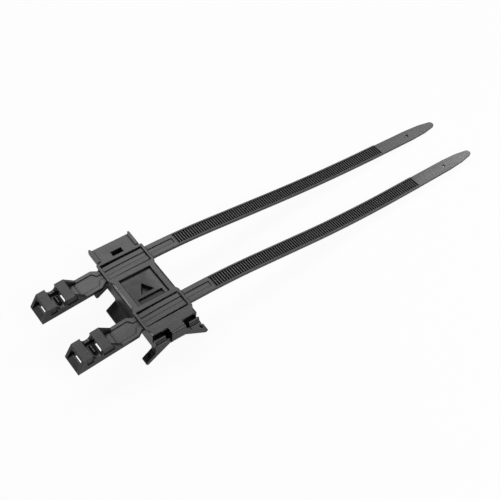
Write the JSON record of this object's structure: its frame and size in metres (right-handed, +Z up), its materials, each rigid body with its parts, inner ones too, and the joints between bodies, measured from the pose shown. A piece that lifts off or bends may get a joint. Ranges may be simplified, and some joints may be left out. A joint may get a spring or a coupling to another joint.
{
  "type": "cable tie standoff mount",
  "caption": "Moulded saddle mount with wide toothed cable ties threaded through lanes under its top plate, for strapping a cable bundle at a distance from a tube.",
  "frame": {"origin": "on the level of the feet, under the middle of the top plate, half way between the ties", "axes": "+X along the ties towards their tips, +Y along the mount towards its tongue, +Z up"},
  "size_m": [0.2482, 0.0597, 0.0191],
  "materials": {
    "mount_polyamide": "satin moulded black polyamide",
    "tie_polyamide": "satin moulded black polyamide"
  },
  "bodies": {
    "root": {"saddle_mount": "mount_polyamide", "cable_tie_far": "tie_polyamide", "cable_tie_near": "tie_polyamide"}
  },
  "joints": []
}
